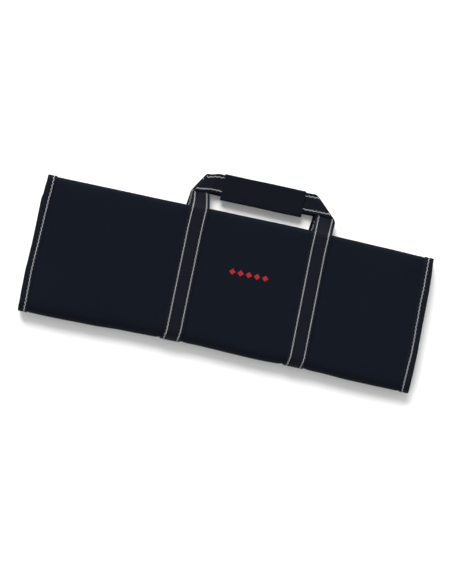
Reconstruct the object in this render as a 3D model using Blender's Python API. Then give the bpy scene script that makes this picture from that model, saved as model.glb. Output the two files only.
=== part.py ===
"""Roll-up tool case of padded cloth, folded shut and lying on its back.

Metres, +Z up. The front of the case looks up, X runs along it, and the handle points to +Y.
While the pieces are made, y = 0 is the highest line of the case's top edge. Everything is then moved as
one, so that the origin ends up on the floor, under the middle of the whole object.

The case is one long sheet. Seen from its end, the sheet starts at the edge of the front flap, turns over
at the front top fold, comes down as the front panel, turns under at the bottom fold, goes back up as the
back panel, turns in at the back top fold and ends as the back flap. Those seven stretches, each with a
share t from 0 to 1 along it, are how every piece here finds its place on the sheet.
"""

from collections import namedtuple
import math

import bmesh
import bpy
from mathutils import Vector

# The folded case
CASE_LENGTH = 0.5016
CASE_DEPTH = 0.1757
FLAP_LENGTH = 0.148
SHEET = 0.003
TOOL_SPACE = 0.006
FLAP_GAP = 0.001
BACK_SET_IN = 0.0015
END_SINK = 0.001
GAP = 0.0003

# The bound short ends
BINDING_WIDTH = 0.012
BINDING_TAPE = 0.0007
SEWN_EDGE = 0.001
EDGE_TAPER = 0.004

# The webbing, on the case
WEBBING_WIDTH = 0.025
WEBBING_THICKNESS = 0.0015
STRAP_SPACING = 0.1574
HANDLE_OFFSET = 0.0248
STRAP_LEAN = 0.0022
STRAP_SPREAD = 0.0016
# The handle pulls both straps aside just below the top edge, over this share of the depth
STRAP_PULL = 0.0007
STRAP_PULL_SHARE = 0.2
REAR_LEFT_SHIFT = -0.0055
REAR_RIGHT_SHIFT = -0.0066
FRONT_PRESS = 0.0006
PRESS_SLOPE = 0.006
PRESS_SIDE_GAP = 0.0005
# Shares of the back top fold at which the strap's groove starts to fade and has gone
PRESS_FULL = 0.25
PRESS_END = 0.60
INNER_RISE = 0.0004

# The handle, beyond the case
HANDLE_LIFT = 0.005
BAR_REACH = 0.0322
LEFT_REACH = 0.0259
RIGHT_REACH = 0.0272
LEFT_ASIDE = -0.0055
RIGHT_ASIDE = -0.0005
LEFT_CREASE_DEG = 59
RIGHT_CREASE_DEG = 136
# How far the band slips up along each crease as it turns over it
LEFT_SLIP = 0.0041
RIGHT_SLIP = 0.0075
FRONT_LEAN_POWER = 1.5
REAR_LEAN_POWER = 0.7
REAR_LEFT_CREASE_SHIFT = -0.0028
REAR_RIGHT_CREASE_SHIFT = -0.0014
REAR_BAR_SHIFT = -0.0024
# Where, out from the top edge, each handle has come down or up to its own level
FRONT_FLAT_FROM = 0.028
REAR_FLAT_FROM = 0.030
# Shares of the way from a crease to the grip: where the bar is in line, and where it starts to come down
BAR_STRAIGHT_AT = 0.67
BAR_DOWN_FROM = 0.5
TAKE_OFF_DEG = 45

# The grip wrap
GRIP_LENGTH = 0.104
GRIP_OFFSET = 0.0205
GRIP_WALL = 0.001
GRIP_SLACK = 0.0003
GRIP_LOOSE = 0.0036
GRIP_CORNER = 0.0012
GRIP_SLIT = 0.001

# How far the edges of the cloth wander from straight lines
EDGE_WAVE = 0.004
END_CURVE = 0.0034

# Top and bottom edges, by share of the length from the left: how far each is drawn in, in EDGE_WAVEs
LongEdge = namedtuple("LongEdge", "along top bottom")
LONG_EDGES = (
    LongEdge(along=0.00, top=0.50, bottom=0.00),
    LongEdge(along=0.08, top=0.49, bottom=0.00),
    LongEdge(along=0.18, top=0.46, bottom=0.25),
    LongEdge(along=0.27, top=0.42, bottom=0.78),
    LongEdge(along=0.35, top=0.33, bottom=0.92),
    LongEdge(along=0.45, top=0.07, bottom=1.00),
    LongEdge(along=0.61, top=0.00, bottom=0.62),
    LongEdge(along=0.70, top=0.10, bottom=0.92),
    LongEdge(along=0.77, top=0.30, bottom=0.75),
    LongEdge(along=0.85, top=0.48, bottom=0.38),
    LongEdge(along=1.00, top=0.88, bottom=0.38),
)

# Short ends, by share of the depth from the top: how far each layer is drawn in, in END_CURVEs
ShortEnd = namedtuple("ShortEnd", "along left_front left_back right_front right_back")
SHORT_ENDS = (
    ShortEnd(along=0.00, left_front=0.85, left_back=0.90, right_front=1.35, right_back=1.35),
    ShortEnd(along=0.07, left_front=0.62, left_back=0.75, right_front=1.05, right_back=0.90),
    ShortEnd(along=0.10, left_front=0.56, left_back=0.60, right_front=0.93, right_back=0.75),
    ShortEnd(along=0.13, left_front=0.50, left_back=0.00, right_front=0.86, right_back=0.60),
    ShortEnd(along=0.20, left_front=0.44, left_back=0.08, right_front=0.78, right_back=0.45),
    ShortEnd(along=0.32, left_front=0.40, left_back=0.14, right_front=0.60, right_back=0.30),
    ShortEnd(along=0.50, left_front=0.32, left_back=0.15, right_front=0.34, right_back=0.15),
    ShortEnd(along=0.65, left_front=0.15, left_back=0.10, right_front=0.16, right_back=0.05),
    ShortEnd(along=0.75, left_front=0.00, left_back=0.00, right_front=0.00, right_back=0.00),
    ShortEnd(along=0.90, left_front=0.10, left_back=0.10, right_front=0.00, right_back=0.00),
    ShortEnd(along=1.00, left_front=0.25, left_back=0.25, right_front=0.10, right_back=0.15),
)

# Steps along each stretch of the sheet, in the order of the sheet
STRETCHES = {
    "front_flap": 3,
    "front_fold": 8,
    "front_panel": 8,
    "bottom_fold": 10,
    "back_panel": 8,
    "back_fold": 8,
    "back_flap": 3,
}
LEG_STEPS = 6
CREASE_STEPS = 6
BAR_STEPS = 6
GRIP_CORNER_STEPS = 3
# Sections of the cover between its left end, its two straps and its right end
STATIONS_BETWEEN = (5, 4, 4)
SHARP_DEG = 40

# Heights and radii that follow from the sizes
LAYER = SHEET + TOOL_SPACE
BACK_PANEL_Z = SHEET / 2
BACK_FLAP_Z = BACK_PANEL_Z + LAYER
FRONT_FLAP_Z = BACK_FLAP_Z + SHEET + FLAP_GAP
FRONT_PANEL_Z = FRONT_FLAP_Z + LAYER
TOP_FOLD_RADIUS = LAYER / 2
BOTTOM_FOLD_RADIUS = (FRONT_PANEL_Z - BACK_PANEL_Z) / 2
BACK_PRESS = WEBBING_THICKNESS + GAP
WEBBING_LAYER = WEBBING_THICKNESS + GAP
REAR_LEG_Z = HANDLE_LIFT + WEBBING_THICKNESS / 2 + GAP + WEBBING_LAYER
FRONT_LEG_Z = REAR_LEG_Z + WEBBING_LAYER
REAR_BAR_Z = HANDLE_LIFT + GRIP_WALL + GAP + WEBBING_THICKNESS / 2
FRONT_BAR_Z = REAR_BAR_Z + WEBBING_LAYER

Surface = namedtuple("Surface", "point outward")


def lerp(a, b, t):
    return a + (b - a) * t


def clamp(t):
    return min(max(t, 0.0), 1.0)


def ease(t):
    t = clamp(t)
    return t * t * (3 - 2 * t)


def read_table(table, column, along):
    """The value of a column at a share along the table, eased from row to row."""
    along = clamp(along)
    for before, after in zip(table, table[1:]):
        if along <= after.along:
            t = ease((along - before.along) / (after.along - before.along))
            return lerp(getattr(before, column), getattr(after, column), t)
    return getattr(table[-1], column)


def long_edge(x, side):
    """How far the top or the bottom edge is drawn in at x."""
    return EDGE_WAVE * read_table(LONG_EDGES, side, x / CASE_LENGTH + 0.5)


def sheet_places():
    """Every (stretch, t) along the sheet, from the front flap's edge to the back flap's."""
    places = []
    for stretch, steps in STRETCHES.items():
        first = 0 if stretch == "front_flap" else 1
        places += [(stretch, k / steps) for k in range(first, steps + 1)]
    return places


def share_down(stretch, t):
    """How far down the case a place on the sheet lies, from 0 at the top to 1 at the bottom."""
    if stretch == "front_flap":
        return (1 - t) * FLAP_LENGTH / CASE_DEPTH
    if stretch == "back_flap":
        return t * FLAP_LENGTH / CASE_DEPTH
    return {"front_panel": t, "bottom_fold": 1.0, "back_panel": 1 - t}.get(stretch, 0.0)


def share_back(stretch, t):
    """0 on the front layers, 1 on the back ones."""
    return t if stretch == "bottom_fold" else float(stretch.startswith("back"))


def half_length(stretch, t, x):
    """From the middle of the case to the outside of its bound end, on the side that x is on."""
    down = share_down(stretch, t)
    side = "left" if x < 0 else "right"
    front = read_table(SHORT_ENDS, side + "_front", down)
    back = read_table(SHORT_ENDS, side + "_back", down)
    return CASE_LENGTH / 2 - END_CURVE * lerp(front, back, share_back(stretch, t))


def strap_x(hand, stretch, t):
    """The middle of the left (-1) or right (+1) strap beside a place on the sheet."""
    down = share_down(stretch, t) if "flap" not in stretch else 0.0
    lean = (STRAP_LEAN + hand * STRAP_SPREAD / 2) * (down - 0.5)
    pull = STRAP_PULL * clamp(1 - down / STRAP_PULL_SHARE) ** 2
    shift = (REAR_LEFT_SHIFT if hand < 0 else REAR_RIGHT_SHIFT) * share_back(stretch, t)
    return HANDLE_OFFSET + hand * STRAP_SPACING / 2 + lean + pull + shift


def sheet_at(stretch, t, x):
    """The middle of the sheet and its outward direction, at a place along it and at x."""
    front_top = -long_edge(x, "top") - SHEET / 2 - TOP_FOLD_RADIUS
    back_top = front_top - BACK_SET_IN
    bottom = long_edge(x, "bottom") - CASE_DEPTH + SHEET / 2 + BOTTOM_FOLD_RADIUS
    if stretch in ("front_fold", "back_fold", "bottom_fold"):
        start, radius, y, z = {
            "front_fold": (-90, TOP_FOLD_RADIUS, front_top, FRONT_FLAP_Z + TOP_FOLD_RADIUS),
            "bottom_fold": (90, BOTTOM_FOLD_RADIUS, bottom, BACK_PANEL_Z + BOTTOM_FOLD_RADIUS),
            "back_fold": (-90, TOP_FOLD_RADIUS, back_top, BACK_PANEL_Z + TOP_FOLD_RADIUS),
        }[stretch]
        angle = math.radians(start + 180 * t)
        outward = Vector((0, math.cos(angle), math.sin(angle)))
        y += radius * outward.y
        z += radius * outward.z
    else:
        y, z, up = {
            "front_flap": (lerp(front_top - FLAP_LENGTH, front_top, t), FRONT_FLAP_Z, -1),
            "front_panel": (lerp(front_top, bottom, t), FRONT_PANEL_Z, 1),
            "back_panel": (lerp(bottom, back_top, t), BACK_PANEL_Z, -1),
            "back_flap": (lerp(back_top, back_top - FLAP_LENGTH, t), BACK_FLAP_Z, 1),
        }[stretch]
        outward = Vector((0, 0, up))
    # The pile is a little lower towards its two short ends.
    lower = 1 - END_SINK / FRONT_PANEL_Z * abs(2 * x / CASE_LENGTH) ** 4
    return Surface(Vector((x, y, BACK_PANEL_Z + (z - BACK_PANEL_Z) * lower)), outward)


def strap_press(stretch, t, x):
    """How far the nearest strap presses the padding in from outside at x."""
    depth = {
        "front_fold": FRONT_PRESS * clamp(2 * t - 1),
        "front_panel": FRONT_PRESS,
        "bottom_fold": lerp(FRONT_PRESS, BACK_PRESS, ease(t)),
        "back_panel": BACK_PRESS,
        "back_fold": BACK_PRESS * clamp((PRESS_END - t) / (PRESS_END - PRESS_FULL)),
    }.get(stretch, 0.0)
    aside = min(abs(x - strap_x(hand, stretch, t)) for hand in (-1, 1))
    beyond = aside - WEBBING_WIDTH / 2 - PRESS_SIDE_GAP
    return depth * clamp(1 - beyond / PRESS_SLOPE)


def half_sheet(stretch, t, x):
    """Half of the sheet's thickness before any strap presses on it: less under the binding."""
    from_end = half_length(stretch, t, x) - abs(x)
    t = (from_end - BINDING_WIDTH - GAP) / EDGE_TAPER
    return lerp(SEWN_EDGE, SHEET, clamp(t)) / 2


def slab(name, outer, inner, material, ring=False):
    """A closed solid between two grids of points. A ring's last row joins its first."""
    rows = len(outer)
    columns = len(outer[0])
    mesh = bmesh.new()
    sides = [[[mesh.verts.new(p) for p in row] for row in grid] for grid in (outer, inner)]
    for i in range(rows if ring else rows - 1):
        j = (i + 1) % rows
        for grid in sides:
            for k in range(columns - 1):
                mesh.faces.new((grid[i][k], grid[i][k + 1], grid[j][k + 1], grid[j][k]))
        for k in (0, columns - 1):
            mesh.faces.new((sides[0][i][k], sides[0][j][k], sides[1][j][k], sides[1][i][k]))
    if not ring:
        for i in (0, rows - 1):
            for k in range(columns - 1):
                corners = (sides[0][i][k], sides[0][i][k + 1], sides[1][i][k + 1], sides[1][i][k])
                mesh.faces.new(corners)
    bmesh.ops.recalc_face_normals(mesh, faces=mesh.faces)
    data = bpy.data.meshes.new(name)
    mesh.to_mesh(data)
    mesh.free()
    data.shade_smooth()
    data.set_sharp_from_angle(angle=math.radians(SHARP_DEG))
    data.materials.append(material)
    piece = bpy.data.objects.new(name, data)
    bpy.context.scene.collection.objects.link(piece)
    return piece


def cloth_material(name, colour, roughness):
    material = bpy.data.materials.new(name)
    material.use_nodes = True
    shader = material.node_tree.nodes["Principled BSDF"]
    shader.inputs["Base Color"].default_value = (*colour, 1)
    shader.inputs["Roughness"].default_value = roughness
    shader.inputs["Metallic"].default_value = 0.0
    return material


def cover_stations(place):
    """The x of each section of the cover beside one place along the sheet."""
    left, right = half_length(*place, -1), half_length(*place, 1)
    ends = (BINDING_TAPE + GAP, BINDING_WIDTH + GAP, BINDING_WIDTH + GAP + EDGE_TAPER)
    beside = WEBBING_WIDTH / 2 + PRESS_SIDE_GAP
    across = (-beside - PRESS_SLOPE, -beside, 0, beside, beside + PRESS_SLOPE)
    groups = [
        [d - left for d in ends],
        [strap_x(-1, *place) + d for d in across],
        [strap_x(1, *place) + d for d in across],
        [right - d for d in reversed(ends)],
    ]
    stations = list(groups[0])
    for group, between in zip(groups[1:], STATIONS_BETWEEN):
        start = stations[-1]
        stations += [lerp(start, group[0], k / (between + 1)) for k in range(1, between + 1)]
        stations += group
    return stations


def make_cover(material):
    """The long padded sheet, as thin as its seam under the bindings and pressed in by the straps."""
    outer, inner = [], []
    for stretch, t in sheet_places():
        outer_row, inner_row = [], []
        for x in cover_stations((stretch, t)):
            surface = sheet_at(stretch, t, x)
            half = half_sheet(stretch, t, x)
            press = strap_press(stretch, t, x)
            rise = INNER_RISE * press / BACK_PRESS
            outer_row.append(surface.point + surface.outward * (half - press))
            inner_row.append(surface.point - surface.outward * (half + rise))
        outer.append(outer_row)
        inner.append(inner_row)
    return slab("cover", outer, inner, material)


def make_binding(name, hand, material):
    """Tape folded over the sewn edge of the sheet, all along its folded section."""
    inside = SEWN_EDGE / 2 + GAP
    outside = inside + BINDING_TAPE
    outer, inner = [], []
    for stretch, t in sheet_places():
        end = half_length(stretch, t, hand)
        profile_out = (
            (end - BINDING_WIDTH, outside),
            (end - BINDING_TAPE, outside),
            (end, inside),
            (end, -inside),
            (end - BINDING_TAPE, -outside),
            (end - BINDING_WIDTH, -outside),
        )
        profile_in = (
            (end - BINDING_WIDTH, inside),
            (end - 1.5 * BINDING_TAPE, inside),
            (end - BINDING_TAPE, inside / 2),
            (end - BINDING_TAPE, -inside / 2),
            (end - 1.5 * BINDING_TAPE, -inside),
            (end - BINDING_WIDTH, -inside),
        )
        for rows, profile in ((outer, profile_out), (inner, profile_in)):
            row = []
            for out, off in profile:
                surface = sheet_at(stretch, t, hand * out)
                row.append(surface.point + surface.outward * off)
            rows.append(row)
    return slab(name, outer, inner, material)


def strap_rib(hand, stretch, t, order):
    """The webbing across the case at one place on the sheet, from its one edge to the other."""
    rib = []
    for across in (-1, 0, 1):
        x = strap_x(hand, stretch, t) + order * across * WEBBING_WIDTH / 2
        surface = sheet_at(stretch, t, x)
        lift = half_sheet(stretch, t, x) - strap_press(stretch, t, x) + GAP + WEBBING_THICKNESS / 2
        rib.append(Surface(surface.point + surface.outward * lift, surface.outward))
    return rib


class Handle:
    """One handle: two legs from the case, a crease at each corner and the bar between them.

    In plan the band lies flat. Each leg folds over its crease, so that the bar runs on the outer side
    of the legs. The height of the band is a curve across the case, from where the leg takes off to the
    level at which both handles lie on each other. Under the grip the bar comes down to its own level.
    """

    def __init__(self, front, take_off, slope):
        self.up = 1 if front else -1
        self.flat_from = FRONT_FLAT_FROM if front else REAR_FLAT_FROM
        self.lean_power = FRONT_LEAN_POWER if front else REAR_LEAN_POWER
        self.crease_shifts = (0, 0) if front else (REAR_LEFT_CREASE_SHIFT, REAR_RIGHT_CREASE_SHIFT)
        self.bar_y = BAR_REACH + (0 if front else REAR_BAR_SHIFT)
        self.take_off = take_off
        self.slope = slope
        self.leg_z = FRONT_LEG_Z if front else REAR_LEG_Z
        self.bar_z = FRONT_BAR_Z if front else REAR_BAR_Z

    def height(self, y):
        """Height of the leg's layer and its slope at y, on one smooth curve."""
        span = self.flat_from - self.take_off.y
        t = clamp((y - self.take_off.y) / span)
        drop = self.take_off.z - self.leg_z
        steep = self.slope * span
        z = self.leg_z + drop * (1 - ease(t)) + steep * t * (1 - t) ** 2
        slope = (steep * (1 - t) * (1 - 3 * t) - drop * 6 * t * (1 - t)) / span
        return z, slope

    def surface(self, x, y, layer):
        """A point on the leg's layer (0) or on the bar's (1), and the band's outward direction."""
        z, slope = self.height(y)
        outward = Vector((0, -slope, 1)).normalized() * self.up
        point = Vector((x, y, z)) + outward * WEBBING_LAYER * layer
        return Surface(point, outward)

    def crease(self, hand, turned=0.0):
        """Middle and half-length of one corner's crease, as vectors from the left of the band.

        The bar runs along X, so the crease is longer than the band is wide. The band slips up along
        it by the share that it has turned over.
        """
        aside = LEFT_ASIDE if hand < 0 else RIGHT_ASIDE
        reach = LEFT_REACH if hand < 0 else RIGHT_REACH
        slip = LEFT_SLIP if hand < 0 else RIGHT_SLIP
        angle = math.radians(LEFT_CREASE_DEG if hand < 0 else RIGHT_CREASE_DEG)
        along = Vector((math.cos(angle), math.sin(angle), 0))
        shift = self.crease_shifts[0 if hand < 0 else 1]
        x = HANDLE_OFFSET + hand * STRAP_SPACING / 2 + aside + shift
        middle = Vector((x, reach, 0)) + along * slip * turned
        return middle, along * WEBBING_WIDTH / 2 / math.sin(angle)

    def leg(self, hand):
        """Ribs of one leg, from the case to its crease."""
        middle, crease = self.crease(hand)
        start = self.take_off
        start_x = strap_x(hand, "front_fold" if self.up > 0 else "back_fold", 0)
        width = Vector((-hand * WEBBING_WIDTH / 2, 0, 0))
        ribs = []
        for k in range(1, LEG_STEPS + 1):
            t = k / LEG_STEPS
            x = lerp(start_x, middle.x, t**self.lean_power)
            centre = Vector((x, lerp(start.y, middle.y, t), 0))
            half = width.lerp(crease, t)
            points = [centre + half * across for across in (-1, 0, 1)]
            ribs.append([self.surface(p.x, p.y, 0) for p in points])
        return ribs

    def fold(self, hand):
        """Ribs that turn the band over its crease, from the leg's layer to the bar's."""
        middle, crease = self.crease(hand)
        away = Vector((hand * crease.y, -hand * crease.x, 0)).normalized()
        radius = WEBBING_LAYER / 2
        ribs = []
        for k in range(1, CREASE_STEPS):
            turn = math.pi * k / CREASE_STEPS
            middle, _ = self.crease(hand, k / CREASE_STEPS)
            rib = []
            for across in (-1, 0, 1):
                flat = middle + crease * across
                base = self.surface(flat.x, flat.y, 0)
                off = away * math.sin(turn) + base.outward * (1 - math.cos(turn))
                outward = base.outward * math.cos(turn) - away * math.sin(turn)
                rib.append(Surface(base.point + off * radius, outward))
            ribs.append(rib)
        return ribs

    def half_bar(self, hand):
        """Ribs of the bar, from one crease to the near end of the grip."""
        middle, crease = self.crease(hand, 1.0)
        end_x = GRIP_OFFSET + hand * GRIP_LENGTH / 2
        width = Vector((0, WEBBING_WIDTH / 2, 0))
        ribs = []
        for k in range(BAR_STEPS + 1):
            t = k / BAR_STEPS
            y = lerp(middle.y, self.bar_y, ease(t / BAR_STRAIGHT_AT))
            centre = Vector((lerp(middle.x, end_x, t), y, 0))
            half = crease.lerp(width, t)
            level = ease((t - BAR_DOWN_FROM) / (1 - BAR_DOWN_FROM))
            rib = []
            for across in (-1, 0, 1):
                flat = centre + half * across
                leg = self.surface(flat.x, flat.y, 1)
                low = Vector((flat.x, flat.y, self.bar_z))
                outward = leg.outward.lerp(Vector((0, 0, self.up)), level).normalized()
                rib.append(Surface(leg.point.lerp(low, level), -outward))
            ribs.append(rib)
        return ribs

    def ribs(self, first):
        """The whole handle, starting with the leg on the side named first."""
        other = -first
        down = self.half_bar(other)[::-1] + self.fold(other)[::-1] + self.leg(other)[::-1]
        return self.leg(first) + self.fold(first) + self.half_bar(first) + down


def strap_places(start, end):
    """Places along the sheet from one (stretch, t) to another, in the order of the sheet."""
    places = sheet_places()
    return places[places.index(start) : places.index(end) + 1]


def make_webbing(material):
    """The one band, from the left strap's bottom up the front, over the handle and round."""
    leave = ("front_fold", 0.5 + TAKE_OFF_DEG / 180)
    right = [strap_rib(1, *place, -1) for place in strap_places(leave, ("back_panel", 1.0))]
    left = [strap_rib(-1, *place, 1) for place in strap_places(leave, ("back_panel", 1.0))]
    left.reverse()
    front_off = left[-1][1].point
    rear_off = right[-1][1].point
    front = Handle(True, front_off, -1 / math.tan(math.radians(TAKE_OFF_DEG)))
    rear = Handle(False, rear_off, 0.0)
    ribs = left + front.ribs(-1) + right + rear.ribs(1)
    half = WEBBING_THICKNESS / 2
    outer = [[s.point + s.outward * half for s in rib] for rib in ribs]
    inner = [[s.point - s.outward * half for s in rib] for rib in ribs]
    return slab("webbing", outer, inner, material, ring=True)


def make_grip(material):
    """The sleeve round both bars: a strip whose ends meet on the underside, with a slit between."""
    low = BAR_REACH + REAR_BAR_SHIFT - WEBBING_WIDTH / 2 - GRIP_LOOSE - GRIP_WALL / 2
    high = BAR_REACH + WEBBING_WIDTH / 2 + GRIP_SLACK + GRIP_WALL / 2
    floor = HANDLE_LIFT + GRIP_WALL / 2
    roof = FRONT_BAR_Z + WEBBING_THICKNESS / 2 + GAP + GRIP_WALL / 2
    slit = lerp(low, high, 1 / 3)
    corners = ((high, floor, -90), (high, roof, 0), (low, roof, 90), (low, floor, 180))
    path = [Surface(Vector((0, slit + GRIP_SLIT / 2, floor)), Vector((0, 0, -1)))]
    for y, z, start in corners:
        centre_y = y - GRIP_CORNER if y == high else y + GRIP_CORNER
        centre_z = z - GRIP_CORNER if z == roof else z + GRIP_CORNER
        for k in range(GRIP_CORNER_STEPS + 1):
            angle = math.radians(start + 90 * k / GRIP_CORNER_STEPS)
            outward = Vector((0, math.cos(angle), math.sin(angle)))
            path.append(Surface(Vector((0, centre_y, centre_z)) + outward * GRIP_CORNER, outward))
    path.append(Surface(Vector((0, slit - GRIP_SLIT / 2, floor)), Vector((0, 0, -1))))
    outer, inner = [], []
    for hand in (-1, 0, 1):
        x = Vector((GRIP_OFFSET + hand * GRIP_LENGTH / 2, 0, 0))
        outer.append([x + s.point + s.outward * GRIP_WALL / 2 for s in path])
        inner.append([x + s.point - s.outward * GRIP_WALL / 2 for s in path])
    return slab("grip_wrap", outer, inner, material)


def stand_on_origin(pieces):
    """Parents the pieces to one empty, and puts the origin on the floor under the whole object."""
    points = [vertex.co for piece in pieces for vertex in piece.data.vertices]
    low = Vector([min(p[axis] for p in points) for axis in range(3)])
    high = Vector([max(p[axis] for p in points) for axis in range(3)])
    base = bpy.data.objects.new("case", None)
    base.location = (-(low.x + high.x) / 2, -(low.y + high.y) / 2, -low.z)
    bpy.context.scene.collection.objects.link(base)
    for piece in pieces:
        piece.parent = base


def main():
    for thing in list(bpy.data.objects):
        bpy.data.objects.remove(thing)
    nylon = cloth_material("padded_nylon", (0.0086, 0.0110, 0.0176), 0.85)
    tape = cloth_material("binding_tape", (0.0080, 0.0095, 0.0150), 0.75)
    band = cloth_material("nylon_webbing", (0.0090, 0.0105, 0.0160), 0.70)
    wrap = cloth_material("grip_cloth", (0.0095, 0.0110, 0.0160), 0.90)
    pieces = [
        make_cover(nylon),
        make_binding("left_binding", -1, tape),
        make_binding("right_binding", 1, tape),
        make_webbing(band),
        make_grip(wrap),
    ]
    stand_on_origin(pieces)


main()
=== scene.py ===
# %% [markdown]
# # A folded roll-up case
#
# The case is one long sheet of padded nylon, folded four deep and lying on its back. Tape binds its short
# ends, one band of webbing goes round it and makes both handles, and a sleeve of cloth holds the handles
# together. The frame below has all of these as plain solids. Each is replaced here by a piece that looks
# like cloth, in the same place, and then the case is sewn with white thread.

# %% Load the frame
import math
from collections import namedtuple

import bmesh
import bpy
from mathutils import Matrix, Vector, noise
from mathutils.bvhtree import BVHTree


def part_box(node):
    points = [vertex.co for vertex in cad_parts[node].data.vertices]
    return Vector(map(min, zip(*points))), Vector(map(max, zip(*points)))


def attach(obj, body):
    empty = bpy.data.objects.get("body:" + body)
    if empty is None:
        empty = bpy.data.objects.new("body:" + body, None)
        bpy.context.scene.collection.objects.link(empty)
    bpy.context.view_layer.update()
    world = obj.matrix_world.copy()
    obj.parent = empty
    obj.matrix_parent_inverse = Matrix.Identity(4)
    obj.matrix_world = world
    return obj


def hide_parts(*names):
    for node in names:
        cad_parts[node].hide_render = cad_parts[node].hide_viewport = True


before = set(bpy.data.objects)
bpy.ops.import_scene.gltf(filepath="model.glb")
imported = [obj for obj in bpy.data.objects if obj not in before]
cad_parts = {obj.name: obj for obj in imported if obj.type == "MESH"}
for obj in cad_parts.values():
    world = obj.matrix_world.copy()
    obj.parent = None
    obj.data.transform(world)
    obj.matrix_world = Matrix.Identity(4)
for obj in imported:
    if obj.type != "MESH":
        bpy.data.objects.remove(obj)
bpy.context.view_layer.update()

# %% [markdown]
# ## The camera
#
# The picture looks straight down from far away, so that little is in perspective, and the camera is turned
# a little about its own axis. A long lens from six metres does the same. The lens follows from the size
# of one pixel on the front of the case, which is known because the webbing is 25 mm wide.

# %% Set the camera
PICTURE_HEIGHT = 584
PIXEL = 0.00125
TURN_DEG = 12.2
CAMERA_ABOVE = 6.0
FRONT_Z = 0.025
LOOKS_AT = (0.0005, -0.0335)

camera_data = bpy.data.cameras.new("camera")
camera_data.lens = camera_data.sensor_width * CAMERA_ABOVE / (PIXEL * PICTURE_HEIGHT)
camera = bpy.data.objects.new("camera", camera_data)
camera.location = (*LOOKS_AT, FRONT_Z + CAMERA_ABOVE)
camera.rotation_euler.z = math.radians(TURN_DEG)
bpy.context.scene.collection.objects.link(camera)
bpy.context.scene.camera = camera
print(f"camera: {camera_data.lens:.0f} mm lens, turned {TURN_DEG} degrees")

# %% [markdown]
# ## The folded sheet
#
# Everything on the case lies on the same sheet, so its fold is written once, as a function. Seen from its
# end, the sheet starts at the edge of the front flap, turns over at the front top fold, comes down as the
# front panel, turns under at the bottom fold, goes back up as the back panel, turns in at the back top fold
# and ends as the back flap. A place on it is a stretch and a share t from 0 to 1 along it.
#
# The pieces could also be copied from the frame's solids. Those have few faces, and a copy would keep their
# corners. A function gives a point and an outward direction anywhere, as fine as a piece needs.

# %% Sizes of the case
CASE_LENGTH = 0.5016
CASE_DEPTH = 0.1757
FLAP_LENGTH = 0.148
SHEET = 0.003
TOOL_SPACE = 0.006
FLAP_GAP = 0.001
BACK_SET_IN = 0.0015
END_SINK = 0.001
GAP = 0.0003
EDGE_WAVE = 0.004
END_CURVE = 0.0034

# Along the case, how far its top and bottom edges are drawn in, in EDGE_WAVEs
EDGES_ALONG = (0.00, 0.08, 0.18, 0.27, 0.35, 0.45, 0.61, 0.70, 0.77, 0.85, 1.00)
TOP_EDGE = (0.50, 0.49, 0.46, 0.42, 0.33, 0.07, 0.00, 0.10, 0.30, 0.48, 0.88)
BOTTOM_EDGE = (0.00, 0.00, 0.25, 0.78, 0.92, 1.00, 0.62, 0.92, 0.75, 0.38, 0.38)
# Down the case, how far the ends of its front and back layers are drawn in, in END_CURVEs
ENDS_DOWN = (0.00, 0.07, 0.10, 0.13, 0.20, 0.32, 0.50, 0.65, 0.75, 0.90, 1.00)
LEFT_FRONT = (0.85, 0.62, 0.56, 0.50, 0.44, 0.40, 0.32, 0.15, 0.00, 0.10, 0.25)
LEFT_BACK = (0.90, 0.75, 0.60, 0.00, 0.08, 0.14, 0.15, 0.10, 0.00, 0.10, 0.25)
RIGHT_FRONT = (1.35, 1.05, 0.93, 0.86, 0.78, 0.60, 0.34, 0.16, 0.00, 0.00, 0.10)
RIGHT_BACK = (1.35, 0.90, 0.75, 0.60, 0.45, 0.30, 0.15, 0.05, 0.00, 0.00, 0.15)

# Where the case lies: the frame's origin is under the middle of the whole object, handle and all
PLACE = Vector((0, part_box("cover")[0][1] + CASE_DEPTH, 0))

LAYER = SHEET + TOOL_SPACE
BACK_PANEL_Z = SHEET / 2
BACK_FLAP_Z = BACK_PANEL_Z + LAYER
FRONT_FLAP_Z = BACK_FLAP_Z + SHEET + FLAP_GAP
FRONT_PANEL_Z = FRONT_FLAP_Z + LAYER
TOP_FOLD_RADIUS = LAYER / 2
BOTTOM_FOLD_RADIUS = (FRONT_PANEL_Z - BACK_PANEL_Z) / 2
PANEL_LENGTH = CASE_DEPTH - SHEET - TOP_FOLD_RADIUS - BOTTOM_FOLD_RADIUS
STRETCHES = {
    "front_flap": FLAP_LENGTH,
    "front_fold": math.pi * TOP_FOLD_RADIUS,
    "front_panel": PANEL_LENGTH,
    "bottom_fold": math.pi * BOTTOM_FOLD_RADIUS,
    "back_panel": PANEL_LENGTH,
    "back_fold": math.pi * TOP_FOLD_RADIUS,
    "back_flap": FLAP_LENGTH,
}
ORDER = list(STRETCHES)
SHEET_LENGTH = sum(STRETCHES.values())
print(f"the sheet is {SHEET_LENGTH * 1000:.0f} mm long when it is unrolled")

# %% Find a place on the sheet
Place = namedtuple("Place", "stretch t")
Surface = namedtuple("Surface", "point outward")


def lerp(a, b, t):
    return a + (b - a) * t


def clamp(t):
    return min(max(t, 0.0), 1.0)


def ease(t):
    t = clamp(t)
    return t * t * (3 - 2 * t)


def read_curve(shares, values, share):
    """The value at a share along a row of values, eased from each to the next."""
    share = clamp(share)
    for k in range(1, len(shares)):
        if share <= shares[k]:
            t = ease((share - shares[k - 1]) / (shares[k] - shares[k - 1]))
            return lerp(values[k - 1], values[k], t)
    return values[-1]


def share_down(place):
    """How far down the case a place lies, from 0 at the top to 1 at the bottom."""
    t = place.t
    return {
        "front_flap": (1 - t) * FLAP_LENGTH / CASE_DEPTH,
        "front_panel": t,
        "bottom_fold": 1.0,
        "back_panel": 1 - t,
        "back_flap": t * FLAP_LENGTH / CASE_DEPTH,
    }.get(place.stretch, 0.0)


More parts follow.
